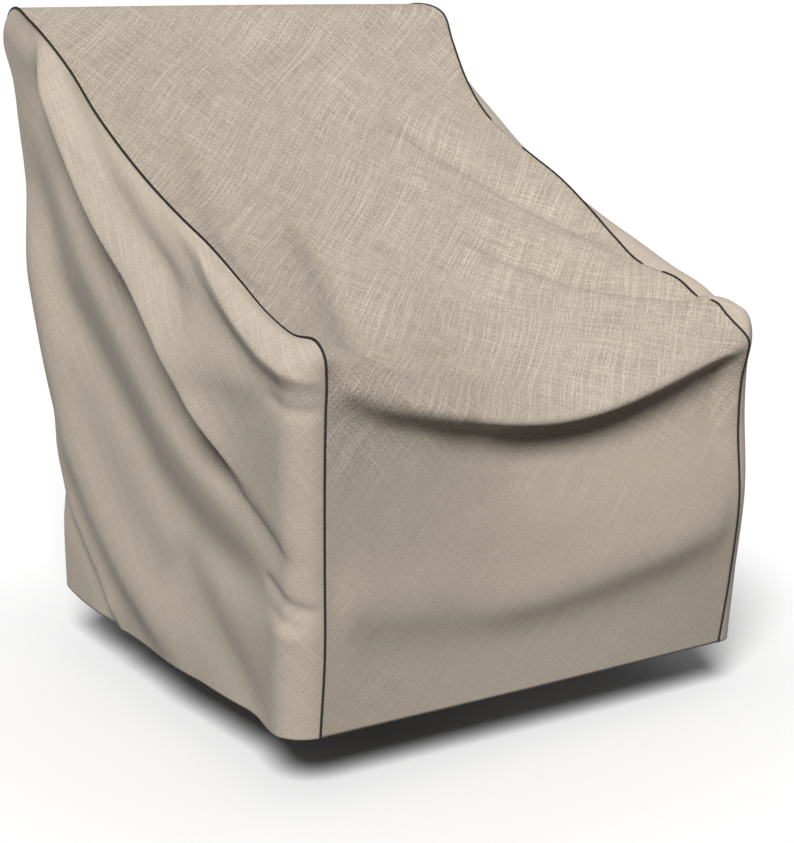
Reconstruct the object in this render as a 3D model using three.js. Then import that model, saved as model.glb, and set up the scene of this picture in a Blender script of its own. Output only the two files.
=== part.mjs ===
// Patio chair cover, shaped as it hangs over a lounge chair. A centre panel runs from the
// front hem over the seat and the top and down the back. Two side panels are sewn to it
// with dark piping in the seams. Millimetres, +Z up. The tables below measure x from the
// middle, y back from the front face and z up from the hem, and the whole cover is then
// placed with its origin under its top ridge, where the chair back carries it.

import * as THREE from "three";

// Driving sizes: cloth thickness, piping, the gap between them, and where the chair carries
// the cover
const SHEET = 2;
const PIPING_RADIUS = 2.5;
const PIPING_SIDES = 6;
const SEAM_CLEARANCE = 0.6;
const HELD_AT = { x: 0, y: 801, z: 855 };

// How finely each stretch of cloth is stepped, and how much the steps crowd towards the ends
// of the top stretch, where the seams turn
const FRONT_STEPS = 22;
const TOP_STEPS = 36;
const BACK_STEPS = FRONT_STEPS;
const CROSS_STEPS = 18;
const END_CROWDING = 0.4;
const LENGTH_SAMPLES = 400;

// Turn of a seam, in radians for one step, past which the cloth needs more room beside it
const SHARP_TURN = 0.18;

// Folds: length over which the side panels' folds start inside the edge, the share of a path
// over which a fold fades at its ends, how round its crest is, the points that its path is read
// at, and the share of the cloth's width that stays smooth at a seam
const FOLD_CLEAR = 34;
const FOLD_FADE = 0.18;
const EDGE_POWER = 1.15;
const PATH_STEPS = 40;
const SEAM_FADE = 0.06;

// The cross curve of the centre panel is a parabola and a softer hump in these shares
const PARABOLA = 0.6;
const HUMP = 1 - PARABOLA;

// The rear hem lifts only close behind the side's rear edge
const HEM_LIFT_POWER = 16;

// A seam stands in from a side's face by at most this many radii of the rounded edge
const MOST_INSET = 1.9;

// Lines of the cloth from the front hem to the rear hem: both seams and the middle
const SECTIONS = [
  { at: "front hem", left: [-311, 4, 0], middle: [0, 0], right: [327, 1, 0] },
  { at: "low skirt", left: [-306, 0, 105], middle: [0, 98], right: [333, -10, 100] },
  { at: "skirt", left: [-305, 0, 215], middle: [-5, 198], right: [333, -22, 208] },
  { at: "high skirt", left: [-304, 0, 320], middle: [-1, 286], right: [332, -15, 310] },
  { at: "under lip", left: [-302, 0, 398], middle: [2, 327], right: [333, -17, 376] },
  { at: "lip", left: [-302, -3, 440], middle: [-13, 349], right: [334, -25, 408] },
  { at: "lip top", left: [-306, -6, 471], middle: [3, 367], right: [331, -29, 430] },
  { at: "arm corner", left: [-307, 12, 487], middle: [36, 386], right: [321, -10, 452] },
  { at: "arm front", left: [-309, 63, 487], middle: [74, 404], right: [318, 34, 477] },
  { at: "arm", left: [-312, 122, 506], middle: [133, 434], right: [318, 100, 497] },
  { at: "arm rear", left: [-314, 185, 537], middle: [200, 470], right: [304, 165, 512] },
  { at: "seat rear", left: [-316, 256, 570], middle: [262, 506], right: [309, 226, 539] },
  { at: "low back", left: [-318, 334, 599], middle: [335, 549], right: [324, 308, 574] },
  { at: "mid back", left: [-321, 418, 635], middle: [415, 597], right: [334, 392, 610] },
  { at: "high middle", left: [-324, 494, 674], middle: [488, 642], right: [320, 458, 646] },
  { at: "high back", left: [-327, 568, 718], middle: [562, 691], right: [305, 530, 690] },
  { at: "shoulder", left: [-330, 643, 772], middle: [638, 745], right: [313, 598, 738] },
  { at: "top rise", left: [-334, 724, 818], middle: [718, 802], right: [339, 680, 800] },
  { at: "top front", left: [-337, 770, 840], middle: [770, 843], right: [339, 706, 842] },
  { at: "top ridge", left: [-338, 811, 855], middle: [801, 857], right: [338, 783, 857] },
  { at: "top rear", left: [-336, 846, 845], middle: [831, 848], right: [333, 832, 844] },
  { at: "rear shoulder", left: [-335, 862, 808], middle: [851, 806], right: [330, 851, 802] },
  { at: "ear pinch", left: [-330, 833, 755], middle: [846, 752], right: [328, 841, 748] },
  { at: "high rear", left: [-327, 815, 660], middle: [830, 655], right: [327, 823, 655] },
  { at: "mid rear", left: [-326, 789, 520], middle: [803, 520], right: [326, 797, 520] },
  { at: "low rear", left: [-326, 751, 385], middle: [764, 380], right: [326, 757, 380] },
  { at: "rear waist", left: [-326, 702, 242], middle: [722, 240], right: [326, 714, 240] },
  { at: "rear skirt", left: [-326, 711, 118], middle: [713, 118], right: [326, 711, 118] },
  { at: "rear hem", left: [-327, 709, 22], middle: [706, 0], right: [327, 708, 14] },
];
const sectionAt = (name) => SECTIONS.findIndex((row) => row.at === name);
const LIP = sectionAt("lip");
const ARM_CORNER = sectionAt("arm corner");
const TOP_RIDGE = sectionAt("top ridge");
const REAR_HEM = SECTIONS.length - 1;

// Outer faces of the two sides, and the radii of the edges that they round into
const SIDES = {
  left: { sign: -1, face: 346, frontRound: 38, topRound: 70, rearRound: 22 },
  right: { sign: 1, face: 358, frontRound: 27, topRound: 34, rearRound: 24 },
};

// Folds of the side panels. A path follows the fold's edge from the back towards the front, as y
// and z. The trough lies to the left of it by shift, with its own width on its right and left. A
// crest of that height stands on the path, spreads to the right and falls off to the left. A
// negative depth is a swelling.
const SIDE_FOLDS = {
  left: [
    { name: "main crease",
      path: [[830, 950], [770, 860], [722, 790], [675, 732], [627, 672], [580, 612], [532, 570],
        [484, 535], [412, 500], [346, 464], [292, 426], [245, 390], [170, 340]],
      depth: 10, shift: 34, right: 24, left: 50, crest: 26, spread: 56, fall: 22 },
    { name: "low crease",
      path: [[340, 420], [256, 370], [189, 334], [112, 288], [51, 252], [0, 215]],
      depth: 7, shift: 12, right: 22, left: 34, crest: 2, spread: 20, fall: 22 },
    { name: "arm swelling",
      path: [[420, 490], [330, 446], [250, 432], [170, 430], [100, 434], [20, 450]],
      depth: -6, shift: 0, right: 40, left: 30, crest: 0, spread: 20, fall: 22 },
    { name: "second ridge",
      path: [[700, 660], [640, 575], [588, 514], [455, 409], [338, 328], [199, 272], [71, 233]],
      depth: -5, shift: 0, right: 30, left: 30, crest: 0, spread: 20, fall: 22 },
    { name: "second trough",
      path: [[790, 720], [738, 634], [698, 559], [652, 478], [586, 430], [507, 372], [430, 317],
        [371, 274], [285, 236], [188, 207], [85, 196], [10, 182]],
      depth: 13, shift: 24, right: 40, left: 40, crest: 0, spread: 20, fall: 22 },
    { name: "upper trough",
      path: [[600, 740], [524, 670], [472, 628], [428, 600], [361, 555], [317, 511], [250, 460]],
      depth: 8, shift: 0, right: 24, left: 26, crest: 0, spread: 20, fall: 22 },
    { name: "arm trough",
      path: [[400, 640], [326, 588], [266, 552], [187, 511], [105, 473], [39, 448], [0, 436]],
      depth: 6, shift: 20, right: 22, left: 36, crest: 8, spread: 36, fall: 22 },
    { name: "rear crease",
      path: [[710, 280], [672, 209], [648, 154], [598, 106], [549, 66], [518, 30], [480, -10]],
      depth: 6, shift: 18, right: 22, left: 30, crest: 12, spread: 40, fall: 22 },
    { name: "corner trough",
      path: [[360, 170], [300, 120], [220, 65], [155, 30], [120, -10]],
      depth: 7, shift: 12, right: 36, left: 45, crest: 0, spread: 20, fall: 22 },
    { name: "low swelling",
      path: [[800, 620], [770, 500], [720, 370], [650, 260], [570, 175], [460, 95], [350, 40],
        [250, -10]],
      depth: -20, shift: 0, right: 56, left: 45, crest: 0, spread: 20, fall: 22 },
  ],
  right: [
    { name: "main crease",
      path: [[770, 800], [640, 660], [470, 520], [260, 390], [70, 310]],
      depth: 8, shift: 34, right: 32, left: 42, crest: 12, spread: 50, fall: 30 },
    { name: "second trough",
      path: [[800, 690], [690, 500], [520, 340], [330, 240], [60, 170]],
      depth: 12, shift: 0, right: 36, left: 44, crest: 0, spread: 20, fall: 22 },
    { name: "rear crease",
      path: [[720, 300], [660, 190], [580, 90], [520, -10]],
      depth: 7, shift: 12, right: 22, left: 30, crest: 4, spread: 30, fall: 22 },
    { name: "low swelling",
      path: [[640, 420], [500, 190], [380, 70], [200, 0]],
      depth: -6, shift: 0, right: 60, left: 60, crest: 0, spread: 20, fall: 22 },
  ],
};

// Folds of the front skirt and of the back, as x and z, and of the seat, as x and y
const SKIRT_FOLDS = [
  { name: "lip crescent",
    path: [[370, 450], [317, 422], [264, 406], [211, 387], [150, 368], [94, 357], [30, 355], [-50, 362],
      [-170, 384]],
    depth: 30, shift: 34, right: 22, left: 100, crest: 6, spread: 30, fall: 22 },
  { name: "lip swelling",
    path: [[-310, 436], [-275, 430], [-220, 405], [-160, 390], [-80, 375]],
    depth: -9, shift: 0, right: 22, left: 30, crest: 0, spread: 20, fall: 22 },
  { name: "swag",
    path: [[-300, 148], [-200, 130], [0, 108], [140, 122], [320, 158]],
    depth: -9, shift: 0, right: 45, left: 50, crest: 0, spread: 20, fall: 22 },
];
const SEAT_FOLDS = [
  { name: "high arm trough",
    path: [[120, 580], [150, 500], [185, 430], [226, 370], [260, 310], [290, 240]],
    depth: 9, shift: 0, right: 30, left: 34, crest: 0, spread: 20, fall: 22 },
  { name: "arm ridge",
    path: [[90, 480], [150, 380], [210, 290], [260, 210], [300, 150]],
    depth: -4, shift: 0, right: 24, left: 24, crest: 0, spread: 20, fall: 22 },
  { name: "arm trough",
    path: [[60, 370], [131, 274], [193, 186], [258, 94], [318, 50]],
    depth: 8, shift: 0, right: 26, left: 30, crest: 0, spread: 20, fall: 22 },
  { name: "corner trough",
    path: [[150, 40], [205, 16], [263, -10], [330, -30]],
    depth: 5, shift: 0, right: 22, left: 22, crest: 0, spread: 20, fall: 22 },
  { name: "left back trough",
    path: [[-190, 530], [-211, 471], [-248, 354], [-286, 234], [-297, 150]],
    depth: 7, shift: 0, right: 30, left: 50, crest: 0, spread: 20, fall: 22 },
  { name: "left arm trough",
    path: [[-100, 380], [-130, 290], [-150, 220], [-172, 150], [-200, 70], [-220, 20]],
    depth: 13, shift: 0, right: 34, left: 46, crest: 0, spread: 20, fall: 22 },
];
const BACK_FOLDS = [
  { name: "left drag",
    path: [[-300, 800], [-170, 560], [-60, 380]],
    depth: 7, shift: 0, right: 40, left: 46, crest: 0, spread: 20, fall: 22 },
  { name: "right drag",
    path: [[300, 800], [190, 540], [90, 330]],
    depth: 8, shift: 0, right: 40, left: 44, crest: 0, spread: 20, fall: 22 },
  { name: "waist",
    path: [[-320, 236], [0, 252], [320, 236]],
    depth: 8, shift: 0, right: 44, left: 50, crest: 0, spread: 20, fall: 22 },
];

// Small helpers
const clamp01 = (value) => Math.min(1, Math.max(0, value));
const smooth = (value) => clamp01(value) ** 2 * (3 - 2 * clamp01(value));
const mix = (from, to, part) => from + (to - from) * part;
const crowdEnds = (part, amount) => part - (amount * Math.sin(2 * Math.PI * part)) / (2 * Math.PI);

// A smooth line through one column of the sections, read by section number
function columnLine(pointOf) {
  const curve = new THREE.CatmullRomCurve3(SECTIONS.map(pointOf), false, "centripetal");
  return (section) => curve.getPoint(section / REAR_HEM);
}

const leftSeam = columnLine((row) => new THREE.Vector3(...row.left));
const rightSeam = columnLine((row) => new THREE.Vector3(...row.right));
const middleLine = columnLine((row) => {
  return new THREE.Vector3((row.left[0] + row.right[0]) / 2, ...row.middle);
});

// Section numbers at even or end-crowded steps of cloth between two sections
function sectionSteps(from, to, steps, crowding) {
  const lengths = [0];
  let last = middleLine(from).add(leftSeam(from));
  for (let i = 1; i <= LENGTH_SAMPLES; i += 1) {
    const section = mix(from, to, i / LENGTH_SAMPLES);
    const next = middleLine(section).add(leftSeam(section));
    lengths.push(lengths[i - 1] + next.distanceTo(last));
    last = next;
  }
  const sections = [from];
  for (let step = 1; step < steps; step += 1) {
    const target = crowdEnds(step / steps, crowding) * lengths[LENGTH_SAMPLES];
    const above = lengths.findIndex((length) => length >= target);
    const past = (target - lengths[above - 1]) / (lengths[above] - lengths[above - 1]);
    sections.push(mix(from, to, (above - 1 + past) / LENGTH_SAMPLES));
  }
  return [...sections, to];
}

const frontSections = sectionSteps(0, ARM_CORNER, FRONT_STEPS, 0);
const topSections = sectionSteps(ARM_CORNER, TOP_RIDGE, TOP_STEPS, END_CROWDING);
const backSections = sectionSteps(TOP_RIDGE, REAR_HEM, BACK_STEPS, 0);
const allSections = [...frontSections, ...topSections.slice(1), ...backSections.slice(1)];

// Height of one fold at a point, from the nearest place on its path
function readyFold(fold) {
  const curve = new THREE.SplineCurve(fold.path.map(([a, b]) => new THREE.Vector2(a, b)));
  return { ...fold, points: curve.getPoints(PATH_STEPS) };
}

function foldHeight(fold, a, b) {
  let nearest = { distance: Infinity, offset: 0, along: 0 };
  const count = fold.points.length - 1;
  for (let i = 0; i < count; i += 1) {
    const start = fold.points[i];
    const step = fold.points[i + 1].clone().sub(start);
    const away = new THREE.Vector2(a, b).sub(start);
    const part = clamp01(away.dot(step) / step.lengthSq());
    const distance = away.distanceTo(step.clone().multiplyScalar(part));
    if (distance < nearest.distance) {
      nearest = { distance, offset: Math.sign(step.cross(away)) * distance, along: (i + part) / count };
    }
  }
  const fromTrough = nearest.offset - fold.shift;
  const trough = -fold.depth * Math.exp(-((fromTrough / (fromTrough < 0 ? fold.right : fold.left)) ** 2));
  const fromEdge = Math.abs(nearest.offset) / (nearest.offset < 0 ? fold.spread : fold.fall);
  const edge = fold.crest * Math.exp(-(fromEdge ** EDGE_POWER));
  const fade = smooth(nearest.along / FOLD_FADE) * smooth((1 - nearest.along) / FOLD_FADE);
  return (trough + edge) * fade;
}

const sumFolds = (folds, a, b) => folds.reduce((sum, fold) => sum + foldHeight(fold, a, b), 0);

// A closed sheet from a grid of middle points, half its thickness to each side
function sheetGeometry({ grid, centres }, outward) {
  const rows = grid.length;
  const columns = grid[0].length;
  const positions = [];
  const at = (i, j) => grid[Math.min(rows - 1, Math.max(0, i))][Math.min(columns - 1, Math.max(0, j))];
  const normals = grid.map((row, i) => row.map((point, j) => {
    const along = at(i + 1, j).clone().sub(at(i - 1, j));
    const across = at(i, j + 1).clone().sub(at(i, j - 1));
    return along.cross(across).normalize().multiplyScalar(outward);
  }));
  const side = (i, j, sign) => grid[i][j].clone().addScaledVector(normals[i][j], (sign * SHEET) / 2);
  const triangle = (a, b, c, flip) => {
    const corners = flip === (outward > 0) ? [a, b, c] : [a, c, b];
    corners.forEach((corner) => positions.push(corner.x, corner.y, corner.z));
  };
  const quad = (a, b, c, d, flip, bend) => {
    if (bend) {
      triangle(a, b, d, flip);
      triangle(b, c, d, flip);
    } else {
      triangle(a, b, c, flip);
      triangle(a, c, d, flip);
    }
  };
  for (let i = 0; i < rows - 1; i += 1) {
    for (let j = 0; j < columns - 1; j += 1) {
      const corners = [[i, j], [i + 1, j], [i + 1, j + 1], [i, j + 1]];
      const halfway = (first, second) => first.clone().lerp(second, 0.5).distanceTo(centres[i][j]);
      const bend = halfway(at(i + 1, j), at(i, j + 1)) < halfway(at(i, j), at(i + 1, j + 1));
      quad(...corners.map(([m, n]) => side(m, n, 1)), true, bend);
      quad(...corners.map(([m, n]) => side(m, n, -1)), false, bend);
    }
  }
  const rim = (i, j, m, n) => quad(side(i, j, 1), side(m, n, 1), side(m, n, -1), side(i, j, -1), false, false);
  for (let i = 0; i < rows - 1; i += 1) {
    rim(i, 0, i + 1, 0);
    rim(i + 1, columns - 1, i, columns - 1);
  }
  for (let j = 0; j < columns - 1; j += 1) {
    rim(rows - 1, j, rows - 1, j + 1);
    rim(0, j + 1, 0, j);
  }
  const geometry = new THREE.BufferGeometry();
  geometry.setAttribute("position", new THREE.Float32BufferAttribute(positions, 3));
  geometry.computeVertexNormals();
  return geometry;
}

// Moves a grid by its fold heights along its own normals. The centre of each cell is moved
// too, so that the cell can be split along the diagonal that follows the fold.
function withFolds(base, outward, heightOf) {
  const rows = base.length;
  const columns = base[0].length;
  const at = (i, j) => base[Math.min(rows - 1, Math.max(0, i))][Math.min(columns - 1, Math.max(0, j))];
  const moved = (point, i, j, before, after) => {
    const along = at(after(i), j).clone().sub(at(before(i), j));
    const across = at(i, after(j)).clone().sub(at(i, before(j)));
    const normal = along.cross(across).normalize().multiplyScalar(outward);
    return point.clone().addScaledVector(normal, heightOf(point, i, j));
  };
  const grid = base.map((row, i) => row.map((point, j) => moved(point, i, j, (n) => n - 1, (n) => n + 1)));
  const centres = base.slice(1).map((row, i) => row.slice(1).map((far, j) => {
    const middle = far.clone().add(at(i, j)).add(at(i + 1, j)).add(at(i, j + 1)).multiplyScalar(0.25);
    return moved(middle, i, j, (n) => n, (n) => n + 1);
  }));
  return { grid, centres };
}

// Whether the seam turns sharply at a station or at the ones beside it
function turnsNear(seamPoints, index) {
  return [index - 1, index, index + 1].some((i) => {
    if (i < 1 || i > seamPoints.length - 2) {
      return false;
    }
    const arriving = seamPoints[i].clone().sub(seamPoints[i - 1]);
    return arriving.angleTo(seamPoints[i + 1].clone().sub(seamPoints[i])) > SHARP_TURN;
  });
}

// The edge of the cloth stops clear of the piping, on the way to the next point inside. Where
// the seam turns it keeps half a thickness more, and at the arm corner it goes straight sideways.
function besideSeam(seamPoints, index, inner) {
  const seamPoint = seamPoints[index];
  const after = seamPoints[Math.min(seamPoints.length - 1, index + 1)];
  const before = seamPoints[Math.max(0, index - 1)];
  const tangent = after.clone().sub(before).normalize();
  const away = inner.clone().sub(seamPoint);
  if (Math.abs(index - FRONT_STEPS) <= 1) {
    away.set(away.x, 0, 0);
  }
  away.normalize();
  const room = turnsNear(seamPoints, index) ? SHEET / 2 : 0;
  const slant = Math.sqrt(1 - away.dot(tangent) ** 2);
  return seamPoint.clone().addScaledVector(away, (PIPING_RADIUS + SEAM_CLEARANCE + room) / slant);
}

// Centre panel: a cross curve from seam to seam at every section, sagging to the middle line
function centrePoint(section, part) {
  const left = leftSeam(section);
  const right = rightSeam(section);
  const sag = middleLine(section).sub(left.clone().add(right).multiplyScalar(0.5));
  const share = PARABOLA * 4 * part * (1 - part) + HUMP * Math.sin(Math.PI * part) ** 2;
  return left.lerp(right, part).addScaledVector(sag, share);
}

const skirtFolds = SKIRT_FOLDS.map(readyFold);
const seatFolds = SEAT_FOLDS.map(readyFold);
const backFolds = BACK_FOLDS.map(readyFold);

// The skirt's folds hand over to the seat's across the lip, and the seat's to the back's
// across the top ridge
function centreFolds(section, point) {
  const pastLip = smooth(section - LIP);
  const nearRidge = smooth(section - TOP_RIDGE + 1);
  const pastRidge = smooth(section - TOP_RIDGE - 1);
  return (1 - pastLip) * sumFolds(skirtFolds, point.x, point.z)
    + pastLip * (1 - nearRidge) * sumFolds(seatFolds, point.x, point.y)
    + pastRidge * sumFolds(backFolds, point.x, point.z);
}

function centrePanelGeometry() {
  const base = allSections.map((section) => {
    const row = [];
    for (let step = 0; step <= CROSS_STEPS; step += 1) {
      row.push(centrePoint(section, step / CROSS_STEPS));
    }
    return row;
  });
  const sheet = withFolds(base, -1, (point, i, j) => {
    const fromSeam = Math.min(j, CROSS_STEPS - j) / CROSS_STEPS;
    return smooth(fromSeam / SEAM_FADE) * centreFolds(allSections[i], point);
  });
  const left = allSections.map(leftSeam);
  const right = allSections.map(rightSeam);
  sheet.grid.forEach((row, i) => {
    row[0] = besideSeam(left, i, row[1]);
    row[CROSS_STEPS] = besideSeam(right, i, row[CROSS_STEPS - 1]);
  });
  return sheetGeometry(sheet, -1);
}

// Cloth that leaves a seam and turns round an edge onto the face: how far it still stands
// in from the face, as a length and as a share, and how far it has travelled along it
function aroundEdge(distance, edgeRadius, inset) {
  const radius = Math.max(edgeRadius, inset / MOST_INSET);
  const start = Math.asin(1 - inset / radius);
  const angle = Math.min(Math.PI / 2, start + distance / radius);
  const turned = radius * (angle - start);
  return {
    pull: radius * (1 - Math.sin(angle)),
    share: (1 - Math.sin(angle)) / (1 - Math.sin(start)),
    travel: radius * (Math.cos(start) - Math.cos(angle)) + distance - turned,
    spare: radius * (Math.PI / 2 - start - Math.cos(start)),
  };
}

// Share of a line's whole length at each of its points
function lengthShares(points) {
  const lengths = [0];
  points.slice(1).forEach((point, i) => lengths.push(lengths[i] + point.distanceTo(points[i])));
  return lengths.map((length) => length / lengths[lengths.length - 1]);
}

// Side panel: a four-sided patch between the front, top and rear stretches of its seam and
// the hem. Each place is blended from the four edges, and then turned round those edges.
function sideBase(side, seam) {
  const front = frontSections.map(seam);
  const top = topSections.map(seam);
  const rear = backSections.map(seam).reverse();
  const rise = lengthShares(front);
  const run = lengthShares(top);
  const rearRise = lengthShares(rear);
  const inset = (point) => side.face - side.sign * point.x;
  return run.map((a, i) => rise.map((frontShare, j) => {
    const b = mix(frontShare, rearRise[j], a);
    const hem = { y: mix(front[0].y, rear[0].y, a), z: mix(front[0].z, rear[0].z, a ** HEM_LIFT_POWER) };
    const blend = (axis) => mix(hem[axis], top[i][axis], b) + mix(front[j][axis], rear[j][axis], a)
      - mix(mix(front[0][axis], rear[0][axis], a), mix(top[0][axis], top[TOP_STEPS][axis], a), b);
    const flatY = blend("y");
    const flatZ = blend("z");

    const depth = rear[j].y - front[j].y;
    const frontSpare = aroundEdge(0, side.frontRound, inset(front[j])).spare;
    const rearSpare = aroundEdge(0, side.rearRound, inset(rear[j])).spare;
    const topSpare = aroundEdge(0, side.topRound, inset(top[i])).spare;
    const across = ((flatY - front[j].y) / depth) * (depth + frontSpare + rearSpare);
    const down = (1 - flatZ / top[i].z) * (top[i].z + topSpare);
    const atFront = aroundEdge(Math.max(0, across), side.frontRound, inset(front[j]));
    const atRear = aroundEdge(
      Math.max(0, depth + frontSpare + rearSpare - across), side.rearRound, inset(rear[j]));
    const atTop = aroundEdge(Math.max(0, down), side.topRound, inset(top[i]));

    const ends = atFront.share * inset(top[0]) + atRear.share * inset(top[TOP_STEPS]);
    const pull = atFront.pull + atRear.pull + atTop.pull - atTop.share * ends;
    const turnedY = front[j].y + atFront.travel
      - (rearSpare - (depth + frontSpare + rearSpare - across - atRear.travel));
    const turnedZ = top[i].z - atTop.travel;
    const y = mix(turnedY, flatY, atTop.share);
    const z = mix(turnedZ, flatZ, Math.max(atFront.share, atRear.share));
    return new THREE.Vector3(side.sign * (side.face - pull), y, z);
  }));
}

function sidePanelGeometry(side, seam, folds) {
  const ready = folds.map(readyFold);
  const base = sideBase(side, seam);
  const sheet = withFolds(base, side.sign, (point, i, j) => {
    const below = point.distanceTo(base[i][FRONT_STEPS]);
    const inside = Math.min(point.distanceTo(base[0][j]), point.distanceTo(base[TOP_STEPS][j]), below);
    return smooth(inside / FOLD_CLEAR) * sumFolds(ready, point.y, point.z);
  });
  const edge = allSections.map(seam);
  const last = edge.length - 1;
  for (let j = 0; j < FRONT_STEPS; j += 1) {
    sheet.grid[0][j] = besideSeam(edge, j, sheet.grid[1][j]);
    sheet.grid[TOP_STEPS][j] = besideSeam(edge, last - j, sheet.grid[TOP_STEPS - 1][j]);
  }
  for (let i = 1; i < TOP_STEPS; i += 1) {
    sheet.grid[i][FRONT_STEPS] = besideSeam(edge, FRONT_STEPS + i, sheet.grid[i][FRONT_STEPS - 1]);
  }
  const corner = (index, i, nextI) => {
    const away = sheet.grid[i][FRONT_STEPS - 1].clone().add(sheet.grid[nextI][FRONT_STEPS]);
    away.sub(edge[index - 1]).sub(edge[index + 1]);
    sheet.grid[i][FRONT_STEPS] = besideSeam(edge, index, edge[index].clone().add(away));
  };
  corner(FRONT_STEPS, 0, 1);
  corner(FRONT_STEPS + TOP_STEPS, TOP_STEPS, TOP_STEPS - 1);
  return sheetGeometry(sheet, side.sign);
}

// Piping: a round cord swept along the seam through the same stations as the cloth's edges
class SeamPath extends THREE.Curve {
  constructor(seam) {
    super();
    this.stations = allSections.map(seam);
  }

  getPoint(share) {
    const place = share * (this.stations.length - 1);
    const first = Math.min(this.stations.length - 2, Math.floor(place));
    return this.stations[first].clone().lerp(this.stations[first + 1], place - first);
  }

  getPointAt(share) {
    return this.getPoint(share);
  }

  getTangentAt(share) {
    const step = 1 / (this.stations.length - 1);
    const after = this.getPoint(Math.min(1, share + step));
    return after.sub(this.getPoint(Math.max(0, share - step))).normalize();
  }
}

function pipingGeometry(seam) {
  const path = new SeamPath(seam);
  const section = new THREE.Shape();
  for (let side = 0; side < PIPING_SIDES; side += 1) {
    const angle = (2 * Math.PI * side) / PIPING_SIDES;
    const corner = [PIPING_RADIUS * Math.cos(angle), PIPING_RADIUS * Math.sin(angle)];
    if (side === 0) {
      section.moveTo(...corner);
    } else {
      section.lineTo(...corner);
    }
  }
  section.closePath();
  const steps = path.stations.length - 1;
  return new THREE.ExtrudeGeometry(section, { steps, extrudePath: path, bevelEnabled: false });
}

// The assembled cover
const cloth = { color: 0xc4b8a4, roughness: 0.85, metalness: 0 };
const dark = { color: 0x1c1714, roughness: 0.6, metalness: 0 };
const cover = new THREE.Group();
cover.position.set(-HELD_AT.x, -HELD_AT.y, -HELD_AT.z);

function addPiece(name, geometry, finish) {
  const mesh = new THREE.Mesh(geometry, new THREE.MeshStandardMaterial(finish));
  mesh.name = name;
  cover.add(mesh);
}

addPiece("centre_panel", centrePanelGeometry(), cloth);
addPiece("side_panel_left", sidePanelGeometry(SIDES.left, leftSeam, SIDE_FOLDS.left), cloth);
addPiece("side_panel_right", sidePanelGeometry(SIDES.right, rightSeam, SIDE_FOLDS.right), cloth);
addPiece("piping_left", pipingGeometry(leftSeam), dark);
addPiece("piping_right", pipingGeometry(rightSeam), dark);

export default cover;
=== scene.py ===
import math

import bpy
import numpy as np
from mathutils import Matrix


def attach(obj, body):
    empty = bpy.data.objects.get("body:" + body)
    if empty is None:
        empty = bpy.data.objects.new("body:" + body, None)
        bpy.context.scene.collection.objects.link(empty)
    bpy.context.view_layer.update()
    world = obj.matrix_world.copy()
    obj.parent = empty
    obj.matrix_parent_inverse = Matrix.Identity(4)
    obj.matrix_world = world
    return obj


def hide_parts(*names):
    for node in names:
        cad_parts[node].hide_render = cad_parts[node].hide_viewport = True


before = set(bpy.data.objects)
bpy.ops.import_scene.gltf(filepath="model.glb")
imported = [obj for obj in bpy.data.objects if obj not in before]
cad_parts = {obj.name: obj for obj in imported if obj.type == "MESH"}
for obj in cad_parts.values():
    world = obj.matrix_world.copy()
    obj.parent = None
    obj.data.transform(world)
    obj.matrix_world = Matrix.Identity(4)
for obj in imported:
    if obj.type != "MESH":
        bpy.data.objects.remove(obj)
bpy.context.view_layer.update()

# Studio: a white floor 75 mm under the cover's hem, darkened round the cover by a painted shadow, a soft
# key light from the front left and a weak fill from the rear right. The camera looks 13 degrees down from
# 33 degrees left of the front.
CAMERA_AT = (-1.3804, -2.6307, 0.0331)
CAMERA_TILT = math.radians(76.877)
CAMERA_TURN = math.radians(-32.754)
LENS_MM = 80.107
FLOOR_Z = -0.930
FLOOR_HALF = 200.0
FLOOR_COLOUR = (1.13, 1.145, 1.17)
FLOOR_CENTRE = (0, -0.45, FLOOR_Z)
FLOOR_SHADE = 0.86
FLOOR_SHADE_FROM = 0.40
FLOOR_SHADE_TO = 0.90
FLOOR_ROUGHNESS = 0.9
FLOOR_SPECULAR = 0.1
SKY_ZENITH = 0.16
SKY_HORIZON = 0.10
SKY_BELOW = 0.05
SKY_STOPS = ((0.0, SKY_BELOW), (0.46, SKY_BELOW), (0.54, SKY_HORIZON), (1.0, SKY_ZENITH))
KEY_TURN = math.radians(39)
KEY_RISE = math.radians(46)
KEY_SOFTNESS = math.radians(26)
KEY_STRENGTH = 3.4
WARM_WHITE = (1.0, 0.985, 0.96)
FILL_TURN = math.radians(240)
FILL_STRENGTH = 0.8
BACKDROP_WHITE = (1, 1, 1, 1)

scene = bpy.context.scene
scene.view_settings.view_transform = "Standard"
camera_data = bpy.data.cameras.new("studio_camera")
camera_data.lens = LENS_MM
camera_data.clip_end = 2 * FLOOR_HALF
camera = bpy.data.objects.new("studio_camera", camera_data)
camera.location = CAMERA_AT
camera.rotation_euler = (CAMERA_TILT, 0, CAMERA_TURN)
scene.collection.objects.link(camera)
scene.camera = camera

floor_mesh = bpy.data.meshes.new("studio_floor")
floor_turns = ((-1, -1), (1, -1), (1, 1), (-1, 1))
floor_corners = [(x * FLOOR_HALF, y * FLOOR_HALF, FLOOR_Z) for x, y in floor_turns]
floor_mesh.from_pydata(floor_corners, [], [(0, 1, 2, 3)])
floor = bpy.data.objects.new("studio_floor", floor_mesh)
scene.collection.objects.link(floor)
floor_paint = bpy.data.materials.new("floor_paint")
floor_paint.use_nodes = True
floor_shader = floor_paint.node_tree.nodes["Principled BSDF"]
floor_nodes = floor_paint.node_tree.nodes
floor_links = floor_paint.node_tree.links
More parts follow.
